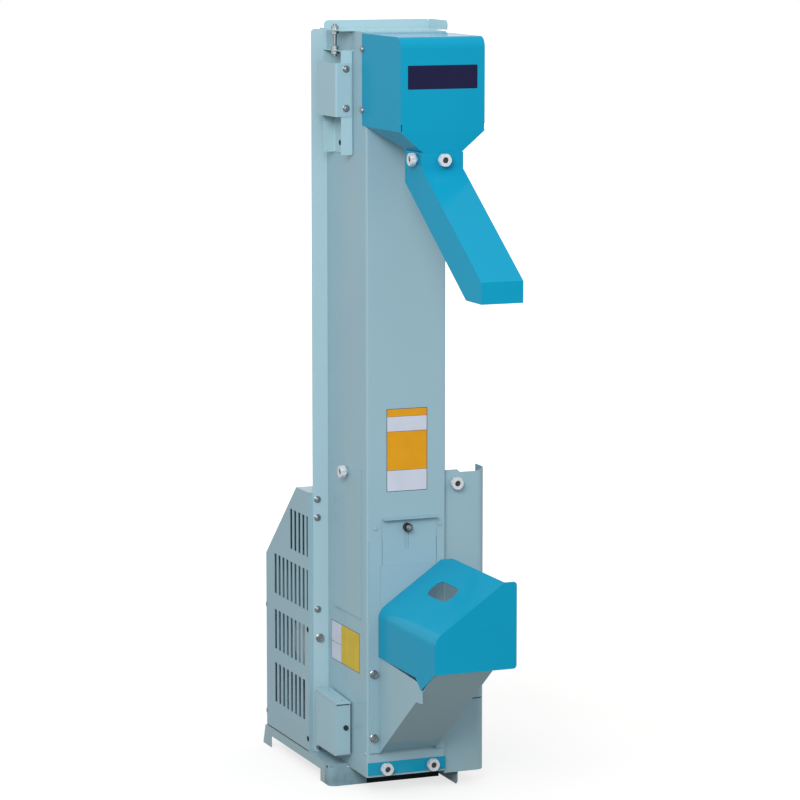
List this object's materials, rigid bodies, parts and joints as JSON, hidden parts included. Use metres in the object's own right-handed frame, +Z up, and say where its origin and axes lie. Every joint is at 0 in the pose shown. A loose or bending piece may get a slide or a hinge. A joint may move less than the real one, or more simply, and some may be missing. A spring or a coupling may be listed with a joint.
{
  "type": "bucket elevator",
  "caption": "Compact free-standing bucket elevator in painted sheet steel, with low side-fed hopper, feed shutter, discharge hood and sloping spout.",
  "frame": {"origin": "on the floor, in the middle of the outline seen from above", "axes": "+X to the right of the front, +Y to the back, +Z up along the casing"},
  "size_m": [0.294, 0.95, 1.4976],
  "materials": {
    "pale_paint": "glossy pale blue-grey enamel",
    "bright_paint": "glossy bright blue enamel",
    "zinc_plate": "zinc plated",
    "iron": "turned and oiled",
    "motor_paint": "satin grey enamel",
    "rubber": "matt",
    "white_plastic": "moulded, satin",
    "black_plastic": "moulded, satin"
  },
  "bodies": {
    "root": {"front_casing": "pale_paint", "rear_casing": "pale_paint", "casing_cap": "pale_paint", "boot_floor": "pale_paint", "head_yoke": "pale_paint", "takeup_channel_left": "pale_paint", "takeup_channel_right": "pale_paint", "bearing_cover_left": "pale_paint", "bearing_cover_right": "pale_paint", "inspection_cover": "pale_paint", "shutter_guides": "pale_paint", "shutter_keeper": "pale_paint", "inlet_hopper": "pale_paint", "switch_box": "pale_paint", "motor_cover_left": "pale_paint", "motor_cover_right": "pale_paint", "motor_cover_back": "pale_paint", "belt_guard_upper": "pale_paint", "belt_guard_lower": "pale_paint", "base_platform": "pale_paint", "base_skirt_left": "pale_paint", "base_skirt_right": "pale_paint", "base_skirt_front": "pale_paint", "discharge_hood": "bright_paint", "spout": "bright_paint", "hopper_cover": "bright_paint", "clean_out_strip": "bright_paint", "takeup_bolt_left": "zinc_plate", "takeup_bolt_right": "zinc_plate", "head_bearing_left": "iron", "head_bearing_right": "iron", "head_pulley": "iron", "tail_pulley": "iron", "motor_pulley": "iron", "tail_v_pulley": "iron", "motor_shelf": "iron", "motor": "motor_paint", "bucket_belt": "rubber", "v_belt": "rubber", "spout_knobs": "white_plastic", "inspection_knob": "white_plastic", "clean_out_knobs": "white_plastic", "belt_guard_knob": "white_plastic", "switch_button": "black_plastic", "shutter_clamp": "black_plastic"},
    "shutter": {"feed_shutter": "pale_paint"}
  },
  "joints": [
    {"name": "shutter_slide", "type": "slide", "parent": "root", "child": "shutter", "axis": [0, 0, 1], "range_m": [0, 0.04]}
  ]
}
